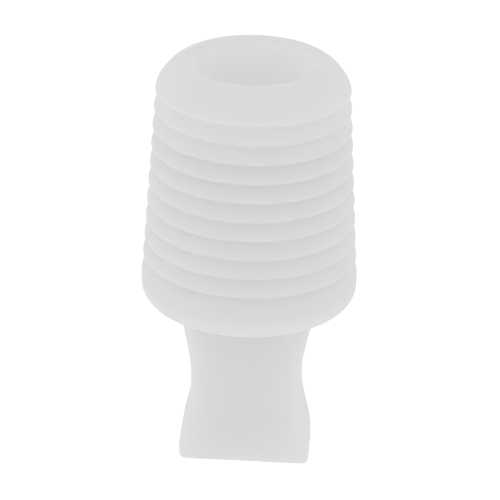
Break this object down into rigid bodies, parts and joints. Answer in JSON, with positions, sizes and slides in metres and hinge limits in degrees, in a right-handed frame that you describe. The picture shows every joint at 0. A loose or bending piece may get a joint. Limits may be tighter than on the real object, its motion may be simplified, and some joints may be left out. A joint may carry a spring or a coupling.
{
  "type": "pneumatic muffler",
  "caption": "White plastic push-in exhaust muffler: a ribbed, tapered plug with an open nose, and a flat waisted grip behind its vented end.",
  "frame": {"origin": "centre of the grip's flat end, which the part stands on", "axes": "+Z along the plug's axis from the grip to the open nose, +X across the grip's width, +Y through the grip's thickness"},
  "size_m": [0.0202, 0.0202, 0.0402],
  "materials": {
    "natural_plastic": "as moulded, natural white polyethylene, slightly waxy",
    "ring_plastic": "as moulded, white acetal",
    "screen_steel": "perforated stainless sheet",
    "seal_rubber": "nitrile sheet, matte",
    "sintered_plastic": "sintered polyethylene beads, rough",
    "felt": "needled polyester felt",
    "foam": "open-cell foam"
  },
  "bodies": {
    "root": {"plug_shell": "natural_plastic", "end_cap": "natural_plastic", "inlet_screen": "screen_steel", "clamp_ring": "ring_plastic", "element_seal": "seal_rubber", "porous_element": "sintered_plastic", "felt_sleeve": "felt", "baffle_disc": "ring_plastic", "outlet_pad": "foam"}
  },
  "joints": []
}
